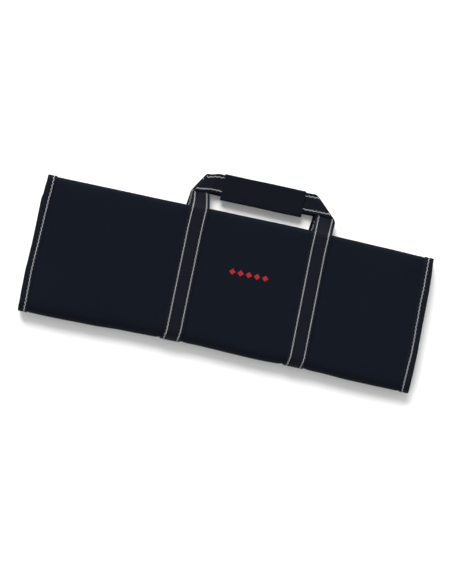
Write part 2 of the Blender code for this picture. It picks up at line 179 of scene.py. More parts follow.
def share_back(place):
    """0 on the front layers, 1 on the back ones."""
    return place.t if place.stretch == "bottom_fold" else float(place.stretch.startswith("back"))


def half_length(place, x):
    """From the middle of the case to the outside of its bound end, on the side that x is on."""
    down = share_down(place)
    front = read_curve(ENDS_DOWN, LEFT_FRONT if x < 0 else RIGHT_FRONT, down)
    back = read_curve(ENDS_DOWN, LEFT_BACK if x < 0 else RIGHT_BACK, down)
    return CASE_LENGTH / 2 - END_CURVE * lerp(front, back, share_back(place))


def run_of(place):
    """Metres of cloth from the front flap's edge to a place."""
    k = ORDER.index(place.stretch)
    before = sum(STRETCHES[name] for name in ORDER[:k])
    return before + place.t * STRETCHES[place.stretch]


FOLD_STEPS = {"front_fold": 0.0015, "bottom_fold": 0.0026, "back_fold": 0.0015}


def places(step, first="front_flap", last="back_flap", start=0.0, end=1.0):
    """Places along the sheet, about a step apart and closer in the folds."""
    found = []
    for name in ORDER[ORDER.index(first) : ORDER.index(last) + 1]:
        low = start if name == first else 0.0
        high = end if name == last else 1.0
        finest = min(step, FOLD_STEPS.get(name, step))
        count = max(2, math.ceil((high - low) * STRETCHES[name] / finest))
        skip = 0 if name == first else 1
        found += [Place(name, lerp(low, high, k / count)) for k in range(skip, count + 1)]
    return found


# %% [markdown]
# The taped ends are stiffer than the rest, so they turn the folds in a slightly wider bend and stand out
# from the edge beside them. That is a small thing, but the outline of the case shows it at every corner.

# %% The sheet as a function
BINDING_WIDTH = 0.012
FOLD_PROUD = {"front_fold": 0.0009, "back_fold": 0.0006, "bottom_fold": 0.0004}
PROUD_FADE = 0.006


def fold_proud(place, x):
    """How far a fold stands out under the tape at its ends."""
    most = FOLD_PROUD.get(place.stretch, 0.0)
    from_end = half_length(place, x) - abs(x)
    near = 1 - ease((from_end - BINDING_WIDTH) / PROUD_FADE)
    return most * near * math.sin(math.pi * place.t) ** 2


def sheet_at(place, x):
    """The middle of the sheet and its outward direction at x."""
    share = x / CASE_LENGTH + 0.5
    front_top = -EDGE_WAVE * read_curve(EDGES_ALONG, TOP_EDGE, share) - SHEET / 2 - TOP_FOLD_RADIUS
    back_top = front_top - BACK_SET_IN
    bottom = EDGE_WAVE * read_curve(EDGES_ALONG, BOTTOM_EDGE, share) - CASE_DEPTH
    bottom += SHEET / 2 + BOTTOM_FOLD_RADIUS
    t = place.t
    if place.stretch.endswith("fold"):
        start, radius, y, z = {
            "front_fold": (-90, TOP_FOLD_RADIUS, front_top, FRONT_FLAP_Z + TOP_FOLD_RADIUS),
            "bottom_fold": (90, BOTTOM_FOLD_RADIUS, bottom, BACK_PANEL_Z + BOTTOM_FOLD_RADIUS),
            "back_fold": (-90, TOP_FOLD_RADIUS, back_top, BACK_PANEL_Z + TOP_FOLD_RADIUS),
        }[place.stretch]
        angle = math.radians(start + 180 * t)
        outward = Vector((0, math.cos(angle), math.sin(angle)))
        radius += fold_proud(place, x)
        y += radius * outward.y
        z += radius * outward.z
    else:
        y, z, up = {
            "front_flap": (lerp(front_top - FLAP_LENGTH, front_top, t), FRONT_FLAP_Z, -1),
            "front_panel": (lerp(front_top, bottom, t), FRONT_PANEL_Z, 1),
            "back_panel": (lerp(bottom, back_top, t), BACK_PANEL_Z, -1),
            "back_flap": (lerp(back_top, back_top - FLAP_LENGTH, t), BACK_FLAP_Z, 1),
        }[place.stretch]
        outward = Vector((0, 0, up))
    lower = 1 - END_SINK / FRONT_PANEL_Z * abs(2 * x / CASE_LENGTH) ** 4
    return Surface(Vector((x, y, BACK_PANEL_Z + (z - BACK_PANEL_Z) * lower)), outward)


# %% [markdown]
# The straps are pulled tight round the case, so the padding is a little thinner under them. The back ones
# are pressed in by the whole weight. These two functions say where a strap runs and how deep it presses.

# %% The straps' groove in the sheet
WEBBING_WIDTH = 0.025
WEBBING_THICKNESS = 0.0015
STRAP_SPACING = 0.1574
HANDLE_OFFSET = 0.0248
STRAP_LEAN = 0.0022
STRAP_SPREAD = 0.0016
STRAP_PULL = 0.0007
STRAP_PULL_SHARE = 0.2
REAR_LEFT_SHIFT = -0.0055
REAR_RIGHT_SHIFT = -0.0066
FRONT_PRESS = 0.0006
BACK_PRESS = WEBBING_THICKNESS + GAP
PRESS_SLOPE = 0.006
PRESS_SIDE_GAP = 0.0005
PRESS_FULL = 0.25
PRESS_END = 0.60


def strap_x(hand, place):
    """The middle of the left (-1) or right (+1) strap beside a place."""
    down = 0.0 if "flap" in place.stretch else share_down(place)
    lean = (STRAP_LEAN + hand * STRAP_SPREAD / 2) * (down - 0.5)
    pull = STRAP_PULL * clamp(1 - down / STRAP_PULL_SHARE) ** 2
    shift = (REAR_LEFT_SHIFT if hand < 0 else REAR_RIGHT_SHIFT) * share_back(place)
    return HANDLE_OFFSET + hand * STRAP_SPACING / 2 + lean + pull + shift


def strap_press(place, x):
    """How far the nearest strap presses the padding in at x."""
    t = place.t
    depth = {
        "front_fold": FRONT_PRESS * clamp(2 * t - 1),
        "front_panel": FRONT_PRESS,
        "bottom_fold": lerp(FRONT_PRESS, BACK_PRESS, ease(t)),
        "back_panel": BACK_PRESS,
        "back_fold": BACK_PRESS * clamp((PRESS_END - t) / (PRESS_END - PRESS_FULL)),
    }.get(place.stretch, 0.0)
    aside = min(abs(x - strap_x(hand, place)) for hand in (-1, 1))
    return depth * clamp(1 - (aside - WEBBING_WIDTH / 2 - PRESS_SIDE_GAP) / PRESS_SLOPE)


# %% [markdown]
# ## Writing node trees as sums
#
# Both materials and geometry trees are graphs of nodes. Wiring them node by node makes long scripts that
# are hard to read. A small class that stands for an output socket, with the signs + - * / on it, lets an
# expression add its own Math nodes. Every other node comes from one method.

# %% A graph and its wires
class Wire:
    """An output socket that can be used in sums. Each sign adds one Math node."""

    def __init__(self, graph, socket):
        self.graph = graph
        self.socket = socket

    def other(self, name):
        """Another output of the same node."""
        return Wire(self.graph, self.socket.node.outputs[name])

    def math(self, operation, *others):
        return self.graph.math(operation, self, *others)

    def __add__(self, other):
        return self.math("ADD", other)

    def __sub__(self, other):
        return self.math("SUBTRACT", other)

    def __rsub__(self, other):
        return self.graph.math("SUBTRACT", other, self)

    def __mul__(self, other):
        return self.math("MULTIPLY", other)

    def __truediv__(self, other):
        return self.math("DIVIDE", other)

    __radd__ = __add__
    __rmul__ = __mul__


class Graph:
    """A node tree that is written as Python expressions."""

    def __init__(self, tree):
        self.tree = tree

    def node(self, kind, settings, sockets, out=0):
        """Adds a node: first its settings, then the values or wires of its sockets."""
        made = self.tree.nodes.new(kind)
        for name, value in settings.items():
            setattr(made, name, value)
        for key, value in sockets.items():
            if isinstance(value, Wire):
                self.tree.links.new(value.socket, made.inputs[key])
            else:
                made.inputs[key].default_value = value
        return Wire(self, made.outputs[out]) if made.outputs else None

    def math(self, operation, *values):
        return self.node("ShaderNodeMath", {"operation": operation}, dict(enumerate(values)))


# %% [markdown]
# ## The cloths
#
# Four black cloths differ in their weave more than in their colour, so each material is a weave. It is
# worked out from two distances in metres, across and along the cloth, which every piece carries as an
# attribute named weave. Object coordinates would be easier, but they would smear the threads at the folds,
# where the cloth turns away from the axes.
#
# The height of the threads goes to the bump, and a little of it to the colour, because the sides of a
# thread get less light than its crown. Slow noise on top makes some parts duller than others.

# %% A cloth material
class Cloth(Graph):
    """A woven material: the height of its threads makes its relief, its tone and its sheen."""

    def __init__(self, name, colour, roughness, sheen):
        self.material = bpy.data.materials.new(name)
        self.material.use_nodes = True
        super().__init__(self.material.node_tree)
        self.shader = self.tree.nodes["Principled BSDF"]
        self.colour = colour
        self.roughness = roughness
        self.shader.inputs["Specular IOR Level"].default_value = 0.05
        self.shader.inputs["Sheen Weight"].default_value = sheen
        self.shader.inputs["Sheen Roughness"].default_value = 0.5
        weave = self.node("ShaderNodeAttribute", {"attribute_name": "weave"}, {}, out="Vector")
        self.across = self.node("ShaderNodeSeparateXYZ", {}, {0: weave}, out="X")
        self.along = self.across.other("Y")
        self.place = self.node("ShaderNodeTexCoord", {}, {}, out="Object")

    def wave(self, distance, pitch):
        """A row of round threads: 0 between them and 1 on their crowns."""
        return (distance * (math.pi / pitch)).math("SINE").math("ABSOLUTE")

    def noise(self, scale, detail=2.0):
        settings = {"noise_dimensions": "3D"}
        sockets = {"Vector": self.place, "Scale": scale, "Detail": detail}
        return self.node("ShaderNodeTexNoise", settings, sockets, out="Fac")

    def finish(self, threads, depth, contrast, patches=0.25, slow_relief=0.0):
        """Joins the threads' height, 0 to 1, to the shader. Depths are in metres."""
        slow = self.noise(9.0, 3.0)
        fine = self.noise(900.0, 2.0)
        # Painted shade: the colour is darker between the threads' crowns, where their sides get less light.
        # The slow and fine noise vary the tone at random.
        tone = 1 - contrast * (1 - threads) + patches * (slow - 0.5) + 0.35 * (fine - 0.5)
        sockets = {0: tone, 6: (0, 0, 0, 1), 7: (*self.colour, 1)}
        settings = {"data_type": "RGBA", "clamp_factor": False}
        colour = self.node("ShaderNodeMix", settings, sockets, out=2)
        rough = self.roughness + 0.10 * (slow - 0.5) - 0.08 * threads
        height = depth * threads + depth * 0.5 * fine + slow_relief * self.noise(60.0, 2.0)
        sockets = {"Strength": 1.0, "Distance": 1.0, "Height": height}
        bump = self.node("ShaderNodeBump", {}, sockets, out="Normal")
        self.tree.links.new(colour.socket, self.shader.inputs["Base Color"])
        self.tree.links.new(rough.socket, self.shader.inputs["Roughness"])
        self.tree.links.new(bump.socket, self.shader.inputs["Normal"])
        print(f"{self.material.name}: {len(self.tree.nodes)} nodes")
        return self.material


# %% [markdown]
# The cover is a coarse nylon in plain weave: each thread goes over one and under the next. The sign of two
# crossed sines says which of them is on top at a place, and that one is drawn as a round bar.

# %% The cover's nylon
COVER_THREAD = 0.0009


def make_padded_nylon():
    cloth = Cloth("padded_nylon", (0.0034, 0.0054, 0.0102), 0.82, 0.012)
    warp = cloth.wave(cloth.across, COVER_THREAD)
    weft = cloth.wave(cloth.along, COVER_THREAD)
    signed = (cloth.across * (math.pi / COVER_THREAD)).math("SINE")
    signed = signed * (cloth.along * (math.pi / COVER_THREAD)).math("SINE")
    over = signed.math("GREATER_THAN", 0.0)
    warp_over = warp * weft.math("POWER", 0.35)
    weft_over = weft * warp.math("POWER", 0.35)
    threads = over * warp_over + (1 - over) * weft_over
    return cloth.finish(threads, 0.00012, 0.5, slow_relief=0.0002)


padded_nylon = make_padded_nylon()

# %% [markdown]
# Webbing is woven in a herringbone: slanted ridges that turn back in every second column. A zigzag of the
# distance across, added to the distance along, bends straight ridges into that pattern. The tape that binds
# the ends is simpler, with ribs straight across it. The sleeve has a fine twill, with slanted ribs only.

# %% Webbing, tape and sleeve
HERRINGBONE_COLUMN = 0.0021
HERRINGBONE_RIDGE = 0.0011
TAPE_RIB = 0.0010
TWILL_RIB = 0.0008


def make_nylon_webbing():
    cloth = Cloth("nylon_webbing", (0.0040, 0.0056, 0.0100), 0.62, 0.016)
    zigzag = cloth.across.math("PINGPONG", HERRINGBONE_COLUMN)
    ridges = cloth.wave(cloth.along + zigzag, HERRINGBONE_RIDGE)
    columns = cloth.wave(cloth.across, HERRINGBONE_COLUMN).math("POWER", 0.3)
    return cloth.finish(ridges * columns, 0.00016, 0.5)


def make_binding_tape():
    cloth = Cloth("binding_tape", (0.0040, 0.0054, 0.0096), 0.70, 0.016)
    ribs = cloth.wave(cloth.along, TAPE_RIB)
    yarns = cloth.wave(cloth.across, TAPE_RIB * 0.6).math("POWER", 0.5)
    return cloth.finish(ribs * (0.7 + 0.3 * yarns), 0.00014, 0.5)


def make_grip_cloth():
    cloth = Cloth("grip_cloth", (0.0036, 0.0050, 0.0084), 0.88, 0.016)
    ribs = cloth.wave(cloth.along + cloth.across, TWILL_RIB)
    return cloth.finish(ribs, 0.00008, 0.4, slow_relief=0.0003)


nylon_webbing = make_nylon_webbing()
binding_tape = make_binding_tape()
grip_cloth = make_grip_cloth()

# %% [markdown]
# Sewing thread is twisted, which shows as slanted lines round it. The stitches are made by a geometry tree,
# and that tree leaves two attributes on them: how far along the thread a point is, and how far round it.

# %% Thread
THREAD_TWIST = 0.0012


def make_thread(name, colour):
    cloth = Cloth(name, colour, 0.55, 0.1)
    along = cloth.node("ShaderNodeAttribute", {"attribute_name": "thread_along"}, {}, out="Fac")
    around = cloth.node("ShaderNodeAttribute", {"attribute_name": "thread_around"}, {}, out="Fac")
    ply = cloth.wave(along / THREAD_TWIST + around * 2.0, 1.0)
    return cloth.finish(ply, 0.00006, 0.35, patches=0.15)


white_thread = make_thread("thread", (0.54, 0.55, 0.57))
red_thread = make_thread("mark_thread", (0.34, 0.016, 0.026))

# %% [markdown]
# ## The padded cover
#
# The cover is a closed skin: an outer grid of points and an inner one, joined round the rim. Where the tape
# holds it the two are pinched together, and at its free edges it is rounded like a turned hem.

# %% Join two grids to one skin
def skin_between(name, outer, inner, material):
    """A closed mesh between two grids of (point, weave) pairs that face each other."""
    rows = len(outer)
    columns = len(outer[0])

    def at(side, i, k):
        return (side * rows + i) * columns + k

    pairs = [pair for grid in (outer, inner) for row in grid for pair in row]
    faces = []
    for i in range(rows - 1):
        for k in range(columns - 1):
            faces.append((at(0, i, k), at(0, i, k + 1), at(0, i + 1, k + 1), at(0, i + 1, k)))
            faces.append((at(1, i, k), at(1, i + 1, k), at(1, i + 1, k + 1), at(1, i, k + 1)))
    for i in range(rows - 1):
        faces.append((at(0, i, 0), at(0, i + 1, 0), at(1, i + 1, 0), at(1, i, 0)))
        last = columns - 1
        faces.append((at(0, i, last), at(1, i, last), at(1, i + 1, last), at(0, i + 1, last)))
    for k in range(columns - 1):
        faces.append((at(0, 0, k), at(1, 0, k), at(1, 0, k + 1), at(0, 0, k + 1)))
        last = rows - 1
        faces.append((at(0, last, k), at(0, last, k + 1), at(1, last, k + 1), at(1, last, k)))
    return make_piece(name, pairs, faces, material)


def make_piece(name, pairs, faces, material):
    """An object at the origin from (point, weave) pairs and faces, with its normals pointing out."""
    data = bpy.data.meshes.new(name)
    data.from_pydata([point + PLACE for point, _ in pairs], [], faces)
    weave = data.attributes.new("weave", "FLOAT_VECTOR", "POINT")
    weave.data.foreach_set("vector", [value for _, w in pairs for value in w])
    data.materials.append(material)
    point_outwards(data)
    piece = bpy.data.objects.new(name, data)
    bpy.context.scene.collection.objects.link(piece)
    return piece


def point_outwards(data):
    """Turns every face of a closed mesh outwards and shades it smooth."""
    mesh = bmesh.new()
    mesh.from_mesh(data)
    bmesh.ops.recalc_face_normals(mesh, faces=mesh.faces)
    mesh.to_mesh(data)
    mesh.free()
    data.shade_smooth()


# %% The cover's grids
# A turned hem is a quarter circle in section, but no thinner than this share of the cloth
THINNEST_HEM = 0.3
SEWN_EDGE = 0.001
EDGE_TAPER = 0.004
BINDING_TAPE = 0.0007
COVER_STEP = 0.0068
HEM_ROUND = 0.0015


def hem_share(from_edge, radius):
    """The share of its full thickness that a cloth has near its rounded edge."""
    return max(THINNEST_HEM, math.sqrt(1 - (1 - clamp(from_edge / radius)) ** 2))


def half_sheet(place, x):
    """Half of the sheet's thickness before a strap presses on it."""
    from_end = half_length(place, x) - abs(x)
    half = lerp(SEWN_EDGE, SHEET, ease((from_end - BINDING_WIDTH - GAP) / EDGE_TAPER)) / 2
    edge = {"front_flap": place.t, "back_flap": 1 - place.t}.get(place.stretch, 1.0) * FLAP_LENGTH
    return half * hem_share(edge, HEM_ROUND)


def cover_columns(place):
    """The x of each column of the cover beside one place."""
    left, right = half_length(place, -1), half_length(place, 1)
    ends = [BINDING_TAPE + GAP, BINDING_WIDTH / 2, BINDING_WIDTH + GAP]
    ends += [BINDING_WIDTH + GAP + EDGE_TAPER * share for share in (0.35, 0.7, 1.0)]
    beside = WEBBING_WIDTH / 2 + PRESS_SIDE_GAP
    across = [-beside - PRESS_SLOPE, -beside - PRESS_SLOPE / 2, -beside, -beside / 3]
    across += [-a for a in reversed(across)]
    groups = [[d - left for d in ends]]
    groups += [[strap_x(hand, place) + d for d in across] for hand in (-1, 1)]
    groups += [[right - d for d in reversed(ends)]]
    columns = list(groups[0])
    for group, between in zip(groups[1:], (25, 19, 17)):
        start = columns[-1]
        columns += [lerp(start, group[0], k / between) for k in range(1, between)]
        columns += group
    return columns


def cover_places():
    """Places along the cover, closer together round its hems."""
    hem = [HEM_ROUND * share / FLAP_LENGTH for share in (0.0, 0.2, 0.5, 1.0)]
    middle = places(COVER_STEP)
    middle = [p for p in middle if hem[-1] * 1.5 < run_of(p) / FLAP_LENGTH]
    middle = [p for p in middle if hem[-1] * 1.5 < (SHEET_LENGTH - run_of(p)) / FLAP_LENGTH]
    first = [Place("front_flap", t) for t in hem]
    last = [Place("back_flap", 1 - t) for t in reversed(hem)]
    return first + middle + last


def make_cover():
    grids = ([], [])
    for place in cover_places():
        rows = ([], [])
        run = run_of(place)
        for x in cover_columns(place):
            surface = sheet_at(place, x)
            half = half_sheet(place, x)
            outer = surface.point + surface.outward * (half - strap_press(place, x))
            inner = surface.point - surface.outward * half
            rows[0].append((outer, (x, run, 0.0)))
            rows[1].append((inner, (x, run, 1.0)))
        for grid, row in zip(grids, rows):
            grid.append(row)
    return skin_between("padded_cover", *grids, padded_nylon)


cover = make_cover()
print(f"padded_cover: {len(cover.data.vertices)} points before it is padded")

# %% [markdown]
# ## Padding by simulation
#
# The real cover is two cloths with foam between them, held together by the seams. The foam pushes the
# cloths apart, and they crown between the seams and pucker beside them. Drawing puckers by hand looks
# drawn. A short cloth simulation finds them: points under the tape and the straps are held, and a light
# pressure inside blows the rest out. How far a point may move is capped, so that the case keeps its size.
# Nothing may bulge downwards on the back, because it rests on the floor, and the flaps have no room.

# %% Which points are sewn down
PANEL_CAP = 0.0012
FOLD_CAP = 0.0004
FLAP_CAP = 0.0003
INSIDE_CAP = 0.0008
PRESSURE = 0.5
SIMULATED_FRAMES = 14


def place_at(run):
    """The place at so many metres of cloth from the front flap's edge."""
    for name in ORDER:
        if run <= STRETCHES[name] + 1e-9:
            return Place(name, clamp(run / STRETCHES[name]))
        run -= STRETCHES[name]
    return Place(ORDER[-1], 1.0)


def is_sewn(place, x):
    """True under the tape, and under a strap where there is one."""
    if half_length(place, x) - abs(x) < BINDING_WIDTH + 2 * GAP:
        return True
    if strap_press(place, x) == 0.0:
        return False
    aside = min(abs(x - strap_x(hand, place)) for hand in (-1, 1))
    return aside < WEBBING_WIDTH / 2 + 2 * PRESS_SIDE_GAP


def padding_cap(place, inside):
    """How far the padding may push the cloth out."""
    if inside:
        return INSIDE_CAP
    if "flap" in place.stretch:
        return FLAP_CAP
    if "fold" in place.stretch:
        return FOLD_CAP
    return PANEL_CAP if place.stretch == "front_panel" else FOLD_CAP


def read_weave(data):
    """The weave attribute of each point, as vectors."""
    return [Vector(item.vector) for item in data.attributes["weave"].data]


# %% Blow the padding up
def pad(piece):
    """Runs the cloth simulation on a piece and keeps its capped result."""
    where = [(place_at(w.y), w.x, w.z > 0.5) for w in read_weave(piece.data)]
    sewn = piece.vertex_groups.new(name="sewn")
    sewn.add([k for k, (p, x, _) in enumerate(where) if is_sewn(p, x)], 1.0, "REPLACE")
    modifier = piece.modifiers.new("padding", "CLOTH")
    settings = modifier.settings
    settings.vertex_group_mass = "sewn"
    settings.use_pressure = True
    settings.uniform_pressure_force = PRESSURE
    settings.effector_weights.gravity = 0
    scene = bpy.context.scene
    for k in range(1, SIMULATED_FRAMES + 1):
        scene.frame_set(k)
    depsgraph = bpy.context.evaluated_depsgraph_get()
    blown = [v.co.copy() for v in piece.evaluated_get(depsgraph).data.vertices]
    piece.modifiers.remove(modifier)
    scene.frame_set(1)
    largest = 0.0
    for vertex, target, (place, _, inside) in zip(piece.data.vertices, blown, where):
        move = target - vertex.co
        far = move.length
        largest = max(largest, far)
        if far > 1e-7:
            cap = padding_cap(place, inside)
            vertex.co += move * (cap * math.tanh(far / cap) / far)
        vertex.co.z = max(vertex.co.z, 0.0)
    piece.data.update()
    print(f"{piece.name}: the freest point wanted to move {largest * 1000:.1f} mm")


pad(cover)

# %% [markdown]
# The simulated skin is coarse, so one step of subdivision rounds it. Then come the marks of sewing and of
# use, which are moves of the points in code: ripples that start at each seam and die out within a
# centimetre or two, and long soft waves where the padding has settled.

# %% Round it and add ripples
RIPPLE = 0.00022
RIPPLE_LENGTH = 0.0105
RIPPLE_REACH = 0.011
WAVE = 0.00035
WAVE_LENGTH = 0.055


def apply_modifiers(piece):
    """Turns a piece and its modifiers into a plain mesh."""
    depsgraph = bpy.context.evaluated_depsgraph_get()
    evaluated = piece.evaluated_get(depsgraph)
    data = bpy.data.meshes.new_from_object(evaluated, preserve_all_data_layers=True, depsgraph=depsgraph)
    piece.modifiers.clear()
    piece.vertex_groups.clear()
    piece.data = data


def subdivide(piece):
    """One step of subdivision, which rounds a coarse cloth."""
    rounding = piece.modifiers.new("rounding", "SUBSURF")
    rounding.levels = 1
    rounding.render_levels = 1
    apply_modifiers(piece)


def seam_distance(place, x):
    """How far x is from the nearest edge that is sewn down."""
    distances = [half_length(place, x) - abs(x) - BINDING_WIDTH]
    if strap_press(place, strap_x(1, place)) > 0.0:
        distances += [abs(x - strap_x(hand, place)) - WEBBING_WIDTH / 2 for hand in (-1, 1)]
    return max(min(distances), 0.0)


def sewn_relief(place, x, run):
    """The height of ripples and waves at a place; nothing at the seam itself."""
    distance = seam_distance(place, x)
    room = ease(distance / 0.004)
    wander = noise.noise(Vector((x * 30, run * 30, 3.0)))
    ripple = math.sin(2 * math.pi * run / RIPPLE_LENGTH + 5 * wander)
    ripple *= math.exp(-distance / RIPPLE_REACH) * (0.6 + noise.noise(Vector((x * 9, run * 45, 0.0))))
    wave = noise.noise(Vector((x / WAVE_LENGTH, run / WAVE_LENGTH, 7.0)))
    return room * (RIPPLE * ripple + WAVE * wave)


def add_sewn_relief(piece):
    """Moves each outer point of the cover along its normal."""
    data = piece.data
    normals = [v.normal.copy() for v in data.vertices]
    share = {"front_panel": 1.0, "bottom_fold": 0.6, "front_fold": 0.6, "back_fold": 0.6}
    for vertex, normal, w in zip(data.vertices, normals, read_weave(data)):
        place = place_at(w.y)
        most = share.get(place.stretch, 0.0)
        if most and w.z < 0.5:
            vertex.co += normal * (most * sewn_relief(place, w.x, w.y))
        vertex.co.z = max(vertex.co.z, 0.0)
    data.update()


subdivide(cover)
add_sewn_relief(cover)
point_outwards(cover.data)
print(f"padded_cover: {len(cover.data.polygons)} faces when it is finished")

# %% [markdown]
# ## Growing things along a path
#
# The tape and every stitch follow a line on the cloth. Geometry Nodes are made for that: the line goes in
# as a chain of edges with an outward direction on every point, and the tree builds the rest. These helpers
# make the chain, start a tree with named inputs and turn its result into a plain mesh.

# %% Chains, trees and results
def make_chains(name, chains):
    """Edges along each chain of surfaces, with their outward directions and their length so far."""
    data = bpy.data.meshes.new(name)
    points, edges, outward, along = [], [], [], []
    for chain in chains:
        length = 0.0
        for k, surface in enumerate(chain):
            if k:
                edges.append((len(points) - 1, len(points)))
                length += (surface.point - chain[k - 1].point).length
            points.append(surface.point + PLACE)
            outward.extend(surface.outward)
            along.append(length)
    data.from_pydata(points, edges, [])
    data.attributes.new("outward", "FLOAT_VECTOR", "POINT").data.foreach_set("vector", outward)
    data.attributes.new("along", "FLOAT", "POINT").data.foreach_set("value", along)
    return data


def new_tree(name, inputs):
    """A geometry tree with named inputs, as (name, socket type), and a Graph to build it."""
    tree = bpy.data.node_groups.new(name, "GeometryNodeTree")
    for label, kind in [("Geometry", "NodeSocketGeometry"), *inputs]:
        tree.interface.new_socket(label, in_out="INPUT", socket_type=kind)
    tree.interface.new_socket("Geometry", in_out="OUTPUT", socket_type="NodeSocketGeometry")
    graph = Graph(tree)
    return graph, graph.node("NodeGroupInput", {}, {}, out="Geometry")


def end_tree(graph, geometry, material):
    """Ends a tree with real geometry and its material, because an export drops instances."""
    solid = graph.node("GeometryNodeRealizeInstances", {}, {"Geometry": geometry})
    smooth = graph.node("GeometryNodeSetShadeSmooth", {}, {"Geometry": solid})
    dyed = graph.node("GeometryNodeSetMaterial", {}, {"Geometry": smooth, "Material": material})
    graph.node("NodeGroupOutput", {}, {"Geometry": dyed})


def grow(name, chains, graph, values):
    """Runs a tree on chains of surfaces and keeps the result as a plain object."""
    piece = bpy.data.objects.new(name, make_chains(name, chains))
    bpy.context.scene.collection.objects.link(piece)
    modifier = piece.modifiers.new(name, "NODES")
    modifier.node_group = graph.tree
    for item in graph.tree.interface.items_tree:
        if item.in_out == "INPUT" and item.name in values:
            modifier[item.identifier] = values[item.name]
    apply_modifiers(piece)
    print(f"{name}: {len(piece.data.polygons)} faces from {len(chains)} chains")
    return piece


# %% [markdown]
# ## The bound ends
#
# A tape is folded over the raw edge of the sheet and sewn through. Its section is the same all along, so
# it is swept: a profile of the folded tape follows the edge of the sheet, turned by the outward direction.
# The profile dips where the seam pulls it down, and its cut edges are rounded.

# %% Sweep the tape
TAPE_IN = SEWN_EDGE / 2 + GAP
TAPE_OUT = TAPE_IN + BINDING_TAPE
SEAM_FROM_END = 0.0070

# Half of the tape's section: how far in from the end, and how far off the middle of the sheet
TAPE_OUTSIDE = (
    (0.0000, 0.00000),
    (0.0001, TAPE_OUT * 0.45),
    (0.0004, TAPE_OUT * 0.78),
    (0.0010, TAPE_OUT * 0.96),
    (0.0022, TAPE_OUT + 0.00008),
    (0.0042, TAPE_OUT + 0.00012),
    (SEAM_FROM_END - 0.0012, TAPE_OUT - 0.00002),
    (SEAM_FROM_END, TAPE_OUT - 0.00020),
    (SEAM_FROM_END + 0.0012, TAPE_OUT - 0.00002),
    (0.0094, TAPE_OUT + 0.00014),
    (0.0114, TAPE_OUT + 0.00004),
    (0.0119, TAPE_OUT - 0.00012),
    (0.0120, TAPE_OUT - 0.00035),
    (0.0119, TAPE_IN + 0.00010),
)
TAPE_INSIDE = (
    (0.0116, TAPE_IN),
    (0.0060, TAPE_IN),
    (0.0018, TAPE_IN),
    (0.0009, TAPE_IN / 2),
    (0.0007, 0.0),
)


def tape_section(hand):
    """The closed section of the folded tape: x is off the sheet and y is in from the end."""
    half = TAPE_OUTSIDE + TAPE_INSIDE
    back = [(inward, -off) for inward, off in half[1:-1]]
    loop = list(half) + back[::-1]
    data = bpy.data.meshes.new("tape_section")
    corners = [(off, hand * inward, 0) for inward, off in loop]
    data.from_pydata(corners, [(k, (k + 1) % len(loop)) for k in range(len(loop))], [])
    across = data.attributes.new("across", "FLOAT", "POINT")
    across.data.foreach_set("value", [math.copysign(inward, off) for inward, off in loop])
    section = bpy.data.objects.new("tape_section", data)
    bpy.context.scene.collection.objects.link(section)
    return section


def named(graph, name, kind="FLOAT"):
    """Reads an attribute in a geometry tree."""
    return graph.node("GeometryNodeInputNamedAttribute", {"data_type": kind}, {"Name": name})


def make_tape_tree():
    inputs = [("Section", "NodeSocketObject"), ("Material", "NodeSocketMaterial")]
    graph, start = new_tree("swept_tape", inputs)
    path = graph.node("GeometryNodeMeshToCurve", {}, {"Mesh": start})
    outward = named(graph, "outward", "FLOAT_VECTOR")
    sockets = {"Curve": path, "Normal": outward}
    path = graph.node("GeometryNodeSetCurveNormal", {"mode": "FREE"}, sockets)
    section = graph.node("GeometryNodeObjectInfo", {}, {"Object": start.other("Section")}, out="Geometry")
    section = graph.node("GeometryNodeMeshToCurve", {}, {"Mesh": section})
    sockets = {"Curve": path, "Profile Curve": section, "Fill Caps": True}
    swept = graph.node("GeometryNodeCurveToMesh", {}, sockets)
    sockets = {"X": named(graph, "across"), "Y": named(graph, "along")}
    weave = graph.node("ShaderNodeCombineXYZ", {}, sockets)
    settings = {"data_type": "FLOAT_VECTOR", "domain": "POINT"}
    sockets = {"Geometry": swept, "Name": "weave", "Value": weave}
    marked = graph.node("GeometryNodeStoreNamedAttribute", settings, sockets)
    end_tree(graph, marked, start.other("Material"))
    return graph


def make_tape(name, hand, graph):
    """One taped end: -1 is the left one."""
    edge = [sheet_at(place, hand * half_length(place, hand)) for place in places(0.0022)]
    section = tape_section(hand)
    piece = grow(name, [edge], graph, {"Section": section, "Material": binding_tape})
    bpy.data.objects.remove(section)
    point_outwards(piece.data)
    return piece


tape_tree = make_tape_tree()
left_tape = make_tape("left_edge_tape", -1, tape_tree)
right_tape = make_tape("right_edge_tape", 1, tape_tree)

# %% [markdown]
# ## The webbing
#
# One band runs up the left of the front, folds over at each corner of the handle, comes down on the right,
# goes round the bottom fold and up the back, and makes the second handle in the same way. A simulation of a
# stiff band would wander, so it is modelled directly: a rib across the band every few millimetres, each
# with the band's own flattened oval section. The section dips along the two lines where it is sewn.

# %% The band's section
SEAM_ACROSS = 0.68
HALF_ACROSS = (0.32, 0.60, SEAM_ACROSS, 0.76, 0.88, 0.97, 1)
ACROSS = (*(-across for across in reversed(HALF_ACROSS)), 0, *HALF_ACROSS)
SEAM_DIP = 0.00016
WEBBING_LAYER = WEBBING_THICKNESS + GAP


def band_half(across):
    """Half of the band's thickness at a share across it."""
    body = max(0.35, math.sqrt(1 - min(abs(across), 1.0) ** 8))
    dip = SEAM_DIP * math.exp(-(((abs(across) - SEAM_ACROSS) / 0.06) ** 2))
    return WEBBING_THICKNESS / 2 * body - dip


